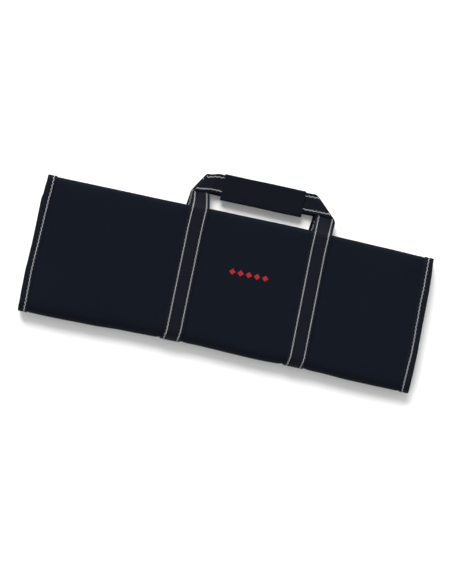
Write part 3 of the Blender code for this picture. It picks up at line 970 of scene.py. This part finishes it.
def loft_band(name, ribs, material):
    """Joins ribs of surfaces, one for each share in ACROSS, to one closed ring."""
    pairs, faces = [], []
    columns = len(ACROSS)
    size = 2 * columns
    along = 0.0
    for k, rib in enumerate(ribs):
        if k:
            along += (rib[columns // 2].point - ribs[k - 1][columns // 2].point).length
        for side in (1, -1):
            for across, surface in list(zip(ACROSS, rib))[::side]:
                point = surface.point + surface.outward * band_half(across) * side
                pairs.append((point, (across * WEBBING_WIDTH / 2, along, 0.0)))
    for k in range(len(ribs)):
        here = k * size
        there = (k + 1) % len(ribs) * size
        for j in range(size):
            n = (j + 1) % size
            faces.append((here + j, here + n, there + n, there + j))
    return make_piece(name, pairs, faces, material)


# %% [markdown]
# On the case, a rib lies across the sheet where the strap runs, just off the padding.

# %% The straps on the case
STRAP_STEP = 0.004
TAKE_OFF_DEG = 45
TAKE_OFF = 0.5 + TAKE_OFF_DEG / 180


def strap_rib(hand, place, order):
    """The webbing across the case at one place; order is -1 to list it from right to left."""
    rib = []
    for across in ACROSS:
        x = strap_x(hand, place) + order * across * WEBBING_WIDTH / 2
        surface = sheet_at(place, x)
        under = half_sheet(place, x) - strap_press(place, x)
        lift = under + GAP + WEBBING_THICKNESS / 2
        rib.append(Surface(surface.point + surface.outward * lift, surface.outward))
    return rib


strap_places = places(STRAP_STEP, "front_fold", "back_panel", start=TAKE_OFF)
right_strap = [strap_rib(1, place, -1) for place in strap_places]
left_strap = [strap_rib(-1, place, 1) for place in reversed(strap_places)]
print(f"straps: {len(left_strap)} ribs each")

# %% [markdown]
# Beyond the case, each handle has two legs, a slanted crease at each corner and a bar. In plan it lies flat,
# and its height is a smooth curve from where it leaves the case to the level where the two handles lie on
# each other. The band turns over at a crease, so the bar shows the inner side of the webbing.

# %% The handles
HANDLE_LIFT = 0.005
BAR_REACH = 0.0322
REAR_BAR_SHIFT = -0.0024
# For each hand: how far out and aside the crease lies, its angle, how far the band slips up along it as it
# turns over, and how far aside the rear handle's crease lies from it
Corner = namedtuple("Corner", "reach aside degrees slip rear_shift")
CORNERS = {
    -1: Corner(reach=0.0259, aside=-0.0055, degrees=59, slip=0.0041, rear_shift=-0.0028),
    1: Corner(reach=0.0272, aside=-0.0005, degrees=136, slip=0.0075, rear_shift=-0.0014),
}
FRONT_LEAN_POWER = 1.5
REAR_LEAN_POWER = 0.7
FRONT_FLAT_FROM = 0.028
REAR_FLAT_FROM = 0.030
BAR_STRAIGHT_AT = 0.67
BAR_DOWN_FROM = 0.5
GRIP_LENGTH = 0.104
GRIP_OFFSET = 0.0205
GRIP_WALL = 0.001
LEG_RIBS = 16
CREASE_RIBS = 10
BAR_RIBS = 16

REAR_LEG_Z = HANDLE_LIFT + WEBBING_THICKNESS / 2 + GAP + WEBBING_LAYER
REAR_BAR_Z = HANDLE_LIFT + GRIP_WALL + GAP + WEBBING_THICKNESS / 2
FRONT_BAR_Z = REAR_BAR_Z + WEBBING_LAYER


class Handle:
    """Ribs of one handle, front or rear, from where its band leaves the case."""

    def __init__(self, front, take_off, slope):
        self.up = 1 if front else -1
        self.flat_from = FRONT_FLAT_FROM if front else REAR_FLAT_FROM
        self.lean_power = FRONT_LEAN_POWER if front else REAR_LEAN_POWER
        self.bar_y = BAR_REACH + (0 if front else REAR_BAR_SHIFT)
        self.take_off = take_off
        self.slope = slope
        self.leg_z = REAR_LEG_Z + (WEBBING_LAYER if front else 0)
        self.bar_z = FRONT_BAR_Z if front else REAR_BAR_Z

    def surface(self, x, y, layer):
        """The leg's layer (0) or the bar's (1) at a place in plan, on one smooth curve of height."""
        span = self.flat_from - self.take_off.y
        t = clamp((y - self.take_off.y) / span)
        drop = self.take_off.z - self.leg_z
        steep = self.slope * span
        z = self.leg_z + drop * (1 - ease(t)) + steep * t * (1 - t) ** 2
        slope = (steep * (1 - t) * (1 - 3 * t) - drop * 6 * t * (1 - t)) / span
        outward = Vector((0, -slope, 1)).normalized() * self.up
        return Surface(Vector((x, y, z)) + outward * WEBBING_LAYER * layer, outward)

    def crease(self, hand, turned=0.0):
        """Middle and half of one corner's crease; the band slips along it by the share turned over."""
        corner = CORNERS[hand]
        angle = math.radians(corner.degrees)
        along = Vector((math.cos(angle), math.sin(angle), 0))
        shift = 0 if self.up > 0 else corner.rear_shift
        x = HANDLE_OFFSET + hand * STRAP_SPACING / 2 + corner.aside + shift
        middle = Vector((x, corner.reach, 0)) + along * corner.slip * turned
        return middle, along * WEBBING_WIDTH / 2 / math.sin(angle)

    def leg(self, hand):
        """Ribs of one leg, from the case to its crease."""
        middle, crease = self.crease(hand)
        start = self.take_off
        start_x = strap_x(hand, Place("front_fold" if self.up > 0 else "back_fold", 0))
        width = Vector((-hand * WEBBING_WIDTH / 2, 0, 0))
        ribs = []
        for k in range(1, LEG_RIBS + 1):
            t = k / LEG_RIBS
            x = lerp(start_x, middle.x, t**self.lean_power)
            centre = Vector((x, lerp(start.y, middle.y, t), 0))
            half = width.lerp(crease, t)
            points = [centre + half * across for across in ACROSS]
            ribs.append([self.surface(p.x, p.y, 0) for p in points])
        return ribs

    def fold(self, hand):
        """Ribs that turn the band over its crease, from the leg's layer to the bar's."""
        _, crease = self.crease(hand)
        away = Vector((hand * crease.y, -hand * crease.x, 0)).normalized()
        ribs = []
        for k in range(1, CREASE_RIBS):
            turn = math.pi * k / CREASE_RIBS
            middle, _ = self.crease(hand, k / CREASE_RIBS)
            rib = []
            for across in ACROSS:
                flat = middle + crease * across
                base = self.surface(flat.x, flat.y, 0)
                off = away * math.sin(turn) + base.outward * (1 - math.cos(turn))
                outward = base.outward * math.cos(turn) - away * math.sin(turn)
                rib.append(Surface(base.point + off * WEBBING_LAYER / 2, outward))
            ribs.append(rib)
        return ribs

    def half_bar(self, hand):
        """Ribs of the bar, from one crease to the near end of the grip."""
        middle, crease = self.crease(hand, 1.0)
        end_x = GRIP_OFFSET + hand * GRIP_LENGTH / 2
        width = Vector((0, WEBBING_WIDTH / 2, 0))
        ribs = []
        for k in range(BAR_RIBS + 1):
            t = k / BAR_RIBS
            y = lerp(middle.y, self.bar_y, ease(t / BAR_STRAIGHT_AT))
            centre = Vector((lerp(middle.x, end_x, t), y, 0))
            half = crease.lerp(width, t)
            level = ease((t - BAR_DOWN_FROM) / (1 - BAR_DOWN_FROM))
            rib = []
            for across in ACROSS:
                flat = centre + half * across
                leg = self.surface(flat.x, flat.y, 1)
                low = Vector((flat.x, flat.y, self.bar_z))
                outward = leg.outward.lerp(Vector((0, 0, self.up)), level).normalized()
                rib.append(Surface(leg.point.lerp(low, level), -outward))
            ribs.append(rib)
        return ribs

    def whole(self, first):
        """The handle in the order of the band, starting with the leg on the side named first."""
        other = -first
        down = self.half_bar(other)[::-1] + self.fold(other)[::-1] + self.leg(other)[::-1]
        return self.leg(first) + self.fold(first) + self.half_bar(first) + down


MIDDLE = len(ACROSS) // 2
front_off = left_strap[-1][MIDDLE].point
rear_off = right_strap[-1][MIDDLE].point
front_handle = Handle(True, front_off, -1 / math.tan(math.radians(TAKE_OFF_DEG)))
rear_handle = Handle(False, rear_off, 0.0)
band_ribs = left_strap + front_handle.whole(-1) + right_strap + rear_handle.whole(1)
webbing = loft_band("webbing_band", band_ribs, nylon_webbing)
print(f"webbing_band: {len(band_ribs)} ribs, {len(webbing.data.polygons)} faces")

# %% [markdown]
# ## The grip
#
# The sleeve is a strip of soft cloth wrapped round both bars. Its ends meet on the underside. It is made as
# the cover is, from an outer and an inner grid, and then dented a little so that it looks handled.

# %% Wrap the sleeve
GRIP_SLACK = 0.0003
GRIP_LOOSE = 0.0036
GRIP_CORNER = 0.0012
GRIP_SLIT = 0.001
GRIP_COLUMNS = 44
GRIP_CROWN = 0.0006
GRIP_DENT = 0.00035
GRIP_HEM = 0.0012
HEM_AT = 0.0018
HEM_RISE = 0.00012


def grip_path():
    """Round the sleeve, from one side of its slit to the other, as surfaces at x = 0."""
    low = BAR_REACH + REAR_BAR_SHIFT - WEBBING_WIDTH / 2 - GRIP_LOOSE - GRIP_WALL / 2
    high = BAR_REACH + WEBBING_WIDTH / 2 + GRIP_SLACK + GRIP_WALL / 2
    floor = HANDLE_LIFT + GRIP_WALL / 2
    roof = FRONT_BAR_Z + WEBBING_THICKNESS / 2 + GAP + GRIP_WALL / 2
    slit = lerp(low, high, 1 / 3)
    down = Vector((0, 0, -1))
    low_end, high_end = low + GRIP_CORNER, high - GRIP_CORNER

    def flat(start, end, shares, z, outward):
        return [Surface(Vector((0, lerp(start, end, share), z)), outward) for share in shares]

    path = flat(slit + GRIP_SLIT / 2, high_end, [k / 6 for k in range(6)], floor, down)
    for y, z, start in ((high, floor, -90), (high, roof, 0), (low, roof, 90), (low, floor, 180)):
        inwards_y = math.copysign(GRIP_CORNER, slit - y)
        inwards_z = math.copysign(GRIP_CORNER, floor + roof - 2 * z)
        centre = Vector((0, y, z)) + Vector((0, inwards_y, inwards_z))
        if start == 90:
            path += flat(high_end, low_end, [k / 12 for k in range(1, 12)], roof, -down)
        for k in range(6):
            angle = math.radians(start + 90 * k / 5)
            outward = Vector((0, math.cos(angle), math.sin(angle)))
            path.append(Surface(centre + outward * GRIP_CORNER, outward))
    path += flat(low_end, slit - GRIP_SLIT / 2, [k / 3 for k in (1, 2, 3)], floor, down)
    return path


def grip_wall(inward, along_path):
    """Half of the sleeve's thickness: round at its ends and at its slit, fuller at the hem."""
    edge = min(inward, along_path)
    hem = HEM_RISE * math.exp(-(((inward - HEM_AT) / GRIP_HEM) ** 2))
    return (GRIP_WALL / 2 + hem) * hem_share(edge, GRIP_WALL / 2)


def make_grip():
    path = grip_path()
    runs = [0.0]
    for before, after in zip(path, path[1:]):
        runs.append(runs[-1] + (after.point - before.point).length)
    inwards = [0.0, 0.0002, 0.0006, 0.0012, 0.0022]
    steps = [GRIP_LENGTH * k / GRIP_COLUMNS for k in range(2, GRIP_COLUMNS - 1)]
    columns = inwards + steps + [GRIP_LENGTH - d for d in reversed(inwards)]
    grids = ([], [])
    for surface, run in zip(path, runs):
        rows = ([], [])
        for column in columns:
            inward = min(column, GRIP_LENGTH - column)
            x = GRIP_OFFSET - GRIP_LENGTH / 2 + column
            half = grip_wall(inward, min(run, runs[-1] - run))
            top = clamp(surface.outward.z)
            full = ease(inward / 0.02) * top * GRIP_CROWN
            dent = GRIP_DENT * noise.noise(Vector((x * 42, run * 60, 1.0))) * ease(inward / 0.004)
            dent *= clamp(surface.outward.z + 1)
            base = surface.point + Vector((x, 0, 0)) + surface.outward * (full + dent)
            rows[0].append((base + surface.outward * half, (x, run, 0.0)))
            rows[1].append((base - surface.outward * half, (x, run, 1.0)))
        for grid, row in zip(grids, rows):
            grid.append(row)
    piece = skin_between("grip_sleeve", *grids, grip_cloth)
    subdivide(piece)
    point_outwards(piece.data)
    return piece, runs[-1]


grip, grip_girth = make_grip()
print(f"grip_sleeve: a strip {grip_girth * 1000:.0f} mm wide, {len(grip.data.polygons)} faces")

# %% [markdown]
# ## The stitches
#
# White thread runs in a zigzag, and every stitch is the same short thread that bows over the cloth and
# dips into it at both ends. There are thousands of them, so a geometry tree places them: it resamples each
# seam at half of the zigzag's length, sets one stitch on every point, and turns it left and right by turns.

# %% The zigzag tree
def make_stitch_tree():
    graph, start = new_tree(
        "zigzag_stitches",
        [
            ("Step", "NodeSocketFloat"),
            ("Width", "NodeSocketFloat"),
            ("Thread radius", "NodeSocketFloat"),
            ("Bow", "NodeSocketFloat"),
            ("Looseness", "NodeSocketFloat"),
            ("Seed", "NodeSocketInt"),
            ("Material", "NodeSocketMaterial"),
        ],
    )
    step, width = start.other("Step"), start.other("Width")
    radius, bow = start.other("Thread radius"), start.other("Bow")
    seam = graph.node("GeometryNodeMeshToCurve", {}, {"Mesh": start})
    seam = graph.node("GeometryNodeResampleCurve", {"mode": "LENGTH"}, {"Curve": seam, "Length": step})

    half = (step * step + width * width).math("SQRT") * 0.5
    ends = [graph.node("ShaderNodeCombineXYZ", {}, {"X": x, "Z": bow * -1.0}) for x in (half * -1.0, half)]
    crown = graph.node("ShaderNodeCombineXYZ", {}, {"Z": bow * 2.2})
    sockets = {"Resolution": 4, "Start": ends[0], "Middle": crown, "End": ends[1]}
    thread = graph.node("GeometryNodeCurveQuadraticBezier", {}, sockets)
    length = graph.node("GeometryNodeSplineParameter", {}, {}, out="Length")
    around = graph.node("GeometryNodeSplineParameter", {}, {}, out="Factor")
    thread = store(graph, thread, "thread_along", length)
    ring = graph.node("GeometryNodeCurvePrimitiveCircle", {}, {"Resolution": 6, "Radius": radius})
    ring = store(graph, ring, "thread_around", around)
    sockets = {"Curve": thread, "Profile Curve": ring, "Fill Caps": True}
    stitch = graph.node("GeometryNodeCurveToMesh", {}, sockets)

    tangent = graph.node("GeometryNodeInputTangent", {}, {})
    outward = named(graph, "outward", "FLOAT_VECTOR")
    turn = graph.node("FunctionNodeAlignRotationToVector", {"axis": "X"}, {"Vector": tangent})
    settings = {"axis": "Z", "pivot_axis": "X"}
    turn = graph.node("FunctionNodeAlignRotationToVector", settings, {"Rotation": turn, "Vector": outward})
    index = graph.node("GeometryNodeInputIndex", {}, {})
    sign = index.math("MODULO", 2.0) * 2.0 - 1.0
    loose = start.other("Looseness")
    sockets = {2: loose * -1.0, 3: loose, "Seed": start.other("Seed")}
    stray = graph.node("FunctionNodeRandomValue", {"data_type": "FLOAT"}, sockets, out=1)
    angle = sign * graph.math("ARCTAN2", width, step) + stray
    sockets = {"Axis": (0, 0, 1), "Angle": angle}
    swing = graph.node("FunctionNodeAxisAngleToRotation", {}, sockets)
    sockets = {"Rotation": turn, "Rotate By": swing}
    turn = graph.node("FunctionNodeRotateRotation", {"rotation_space": "LOCAL"}, sockets)
    sockets = {"Points": seam, "Instance": stitch, "Rotation": turn}
    placed = graph.node("GeometryNodeInstanceOnPoints", {}, sockets)
    end_tree(graph, placed, start.other("Material"))
    return graph


def store(graph, geometry, name, value):
    """Leaves a number on every point, for the thread's twist."""
    sockets = {"Geometry": geometry, "Name": name, "Value": value}
    return graph.node("GeometryNodeStoreNamedAttribute", {"data_type": "FLOAT"}, sockets)


stitch_tree = make_stitch_tree()

# %% [markdown]
# The seams are chains of surfaces. Those of the tape follow the ends of the sheet, outside and inside.
# Those of the webbing follow the ribs of the band, at the same share across. Where the bar lies on a leg,
# the leg's seam is covered, so it stops at the bar's lower edge.

# %% Seams of the taped ends
# How far the thread's middle lies off the tape's face, which the seam pulls in, and off the webbing's
OFF_TAPE = -0.00006
OFF_WEBBING = 0.00008
ZIGZAG = {
    "Step": 0.0025,
    "Width": 0.0016,
    "Thread radius": 0.00027,
    "Bow": 0.00016,
    "Looseness": 0.07,
    "Seed": 3,
    "Material": white_thread,
}
# Down the case, how far the seam runs from the end, in metres: it isn't sewn quite straight
LEFT_SEAM = (0.0080, 0.0087, 0.0088, 0.0085, 0.0084, 0.0080, 0.0077, 0.0075, 0.0078, 0.0081, 0.0081)
RIGHT_SEAM = (0.0062, 0.0068, 0.0070, 0.0072, 0.0070, 0.0077, 0.0076, 0.0072, 0.0074, 0.0082, 0.0083)


def tape_seam(hand, side, seam_places):
    """One seam of a taped end; side is 1 outside the fold and -1 inside it."""
    chain = []
    for place in seam_places:
        inward = read_curve(ENDS_DOWN, LEFT_SEAM if hand < 0 else RIGHT_SEAM, share_down(place))
        surface = sheet_at(place, hand * (half_length(place, hand) - inward))
        outward = surface.outward * side
        chain.append(Surface(surface.point + outward * (TAPE_OUT + OFF_TAPE), outward))
    return chain


outside = places(0.002, "front_fold", "back_fold")
inside = places(0.002)
edge_seams = [tape_seam(hand, 1, outside) for hand in (-1, 1)]
edge_seams += [tape_seam(hand, -1, inside) for hand in (-1, 1)]
edge_stitches = grow("edge_stitches", edge_seams, stitch_tree, ZIGZAG)

# %% Seams of the webbing
SEAM_COLUMNS = [k for k, across in enumerate(ACROSS) if abs(across) == SEAM_ACROSS]


def rib_seams(ribs, side):
    """Both seams along a row of ribs, on the outer (1) or the inner (-1) side of the band."""
    lift = band_half(SEAM_ACROSS) + OFF_WEBBING
    seams = []
    for column in SEAM_COLUMNS:
        chain = []
        for rib in ribs:
            outward = rib[column].outward * side
            chain.append(Surface(rib[column].point + outward * lift, outward))
        seams.append(chain)
    return seams


def open_part(seam, bar):
    """The part of a leg's seam below the edge of the bar that lies over it."""
    edges = [min((rib[0].point, rib[-1].point), key=lambda p: p.y) for rib in bar]
    shown = []
    for surface in seam:
        nearest = min(edges, key=lambda p: abs(p.x - surface.point.x))
        if surface.point.y < nearest.y - 0.0008:
            shown.append(surface)
    return shown


band_seams = rib_seams(left_strap, 1) + rib_seams(right_strap, 1)
for handle, leg_sides in ((front_handle, (1,)), (rear_handle, (1, -1))):
    for hand in (-1, 1):
        bar = handle.half_bar(hand)
        band_seams += rib_seams(bar, -1)
        for side in leg_sides:
            for seam in rib_seams(handle.leg(hand), side):
                band_seams.append(open_part(seam, bar) if side > 0 else seam)
band_seams = [seam for seam in band_seams if len(seam) > 1]
strap_stitches = grow("strap_stitches", band_seams, stitch_tree, ZIGZAG)

# %% [markdown]
# ## The ornament
#
# The front of the case has a small sewn ornament between the straps: a row of plain diamonds in red thread.
# Each is filled with satin stitch, threads that lie side by side and are longest in the middle. The same
# kind of tree makes them, with one thread scaled to many lengths.

# %% The satin tree
DIAMONDS = 5
DIAMOND_PITCH = 0.0105
DIAMOND_SIZE = 0.0075
SATIN_THREADS = 15
ORNAMENT_AT = (0.0240, -0.0070)


def make_satin_tree():
    graph, start = new_tree(
        "satin_diamonds",
        [
            ("Size", "NodeSocketFloat"),
            ("Threads", "NodeSocketInt"),
            ("Thread radius", "NodeSocketFloat"),
            ("Material", "NodeSocketMaterial"),
        ],
    )
    size, count = start.other("Size"), start.other("Threads")
    radius = start.other("Thread radius")
    ends = {"Start": (-0.5, 0, -0.0002), "End": (0.5, 0, -0.0002)}
    sockets = {"Resolution": 4, "Middle": (0, 0, 0.0006), **ends}
    thread = graph.node("GeometryNodeCurveQuadraticBezier", {}, sockets)
    length = graph.node("GeometryNodeSplineParameter", {}, {}, out="Length")
    thread = store(graph, thread, "thread_along", length * size)
    ring = graph.node("GeometryNodeCurvePrimitiveCircle", {}, {"Resolution": 6, "Radius": radius})
    sockets = {"Curve": thread, "Profile Curve": ring, "Fill Caps": True}
    strand = graph.node("GeometryNodeCurveToMesh", {}, sockets)
    pitch = size / (count - 1)
    sockets = {
        "Count": count,
        "Start Location": graph.node("ShaderNodeCombineXYZ", {}, {"Y": size * -0.5}),
        "Offset": graph.node("ShaderNodeCombineXYZ", {}, {"Y": pitch}),
    }
    row = graph.node("GeometryNodeMeshLine", {}, sockets)
    index = graph.node("GeometryNodeInputIndex", {}, {})
    from_middle = (index * 2.0 / (count - 1) - 1.0).math("ABSOLUTE")
    long = size * (1.08 - from_middle)
    scale = graph.node("ShaderNodeCombineXYZ", {}, {"X": long, "Y": 1.0, "Z": 1.0})
    sockets = {"Points": row, "Instance": strand, "Scale": scale}
    diamond = graph.node("GeometryNodeInstanceOnPoints", {}, sockets)
    outward = named(graph, "outward", "FLOAT_VECTOR")
    turn = graph.node("FunctionNodeAlignRotationToVector", {"axis": "Z"}, {"Vector": outward})
    sockets = {"Points": start, "Instance": diamond, "Rotation": turn}
    placed = graph.node("GeometryNodeInstanceOnPoints", {}, sockets)
    end_tree(graph, placed, start.other("Material"))
    return graph


# %% Set the diamonds on the cover
def cover_below(x, y):
    """The cover's front at a place in plan, without the shift that the pieces get."""
    points = [v.co for v in cover.data.vertices]
    tree = BVHTree.FromPolygons(points, [p.vertices for p in cover.data.polygons])
    point, normal, _, _ = tree.ray_cast(Vector((x, y, 0.1)), Vector((0, 0, -1)))
    return Surface(point - PLACE + normal * 0.0001, normal)


middle = (DIAMONDS - 1) / 2
row = [cover_below(ORNAMENT_AT[0] + (k - middle) * DIAMOND_PITCH, ORNAMENT_AT[1]) for k in range(DIAMONDS)]
satin = {"Size": DIAMOND_SIZE, "Threads": SATIN_THREADS, "Thread radius": 0.00027, "Material": red_thread}
ornament = grow("ornament", [row], make_satin_tree(), satin)

# %% [markdown]
# ## Joining the pieces to the frame
#
# Nothing on this case moves, so every piece rides on its one body. Each dressed piece replaces its solid.

# %% Ride and replace
DRESSED = (
    (cover, "padded_nylon", "cover"),
    (left_tape, "binding_tape", "left_binding"),
    (right_tape, "binding_tape", "right_binding"),
    (webbing, "nylon_webbing", "webbing"),
    (grip, "grip_cloth", "grip_wrap"),
    (edge_stitches, "thread", None),
    (strap_stitches, "thread", None),
    (ornament, "mark_thread", None),
)
for piece, slot, node in DRESSED:
    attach(piece, "root")
    if node:
        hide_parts(node)

# %% [markdown]
# ## Floor and light
#
# The picture's ground is white, with a soft shadow that falls down and a little to the right. A sun with a
# wide disc gives that shadow the same width everywhere, and a bright even sky fills the rest.

# %% Set the floor and the light
SUN_TOWARDS = Vector((-0.26, 0.75, 0.61))
SUN_SIZE_DEG = 38
SUN_STRENGTH = 5.1
SKY_STRENGTH = 0.72
FLOOR_HALF = 4.0
# Just under the padding, which bulges a little below the plain solids
FLOOR_Z = -0.0004

floor_data = bpy.data.meshes.new("floor")
corners = [(x * FLOOR_HALF, y * FLOOR_HALF, FLOOR_Z) for x, y in ((-1, -1), (1, -1), (1, 1), (-1, 1))]
floor_data.from_pydata(corners, [], [(0, 1, 2, 3)])
floor = bpy.data.objects.new("floor", floor_data)
bpy.context.scene.collection.objects.link(floor)
paper = bpy.data.materials.new("paper")
paper.use_nodes = True
paper_shader = paper.node_tree.nodes["Principled BSDF"]
paper_shader.inputs["Base Color"].default_value = (0.9, 0.9, 0.9, 1)
paper_shader.inputs["Roughness"].default_value = 0.9
paper_shader.inputs["Specular IOR Level"].default_value = 0.0
floor_data.materials.append(paper)

sun_data = bpy.data.lights.new("sun", "SUN")
sun_data.energy = SUN_STRENGTH
sun_data.angle = math.radians(SUN_SIZE_DEG)
sun = bpy.data.objects.new("sun", sun_data)
sun.rotation_euler = SUN_TOWARDS.to_track_quat("Z", "Y").to_euler()
bpy.context.scene.collection.objects.link(sun)

sky = bpy.data.worlds.new("sky")
sky.use_nodes = True
sky.node_tree.nodes["Background"].inputs["Color"].default_value = (1, 1, 1, 1)
sky.node_tree.nodes["Background"].inputs["Strength"].default_value = SKY_STRENGTH
bpy.context.scene.world = sky
bpy.context.scene.view_settings.view_transform = "Standard"
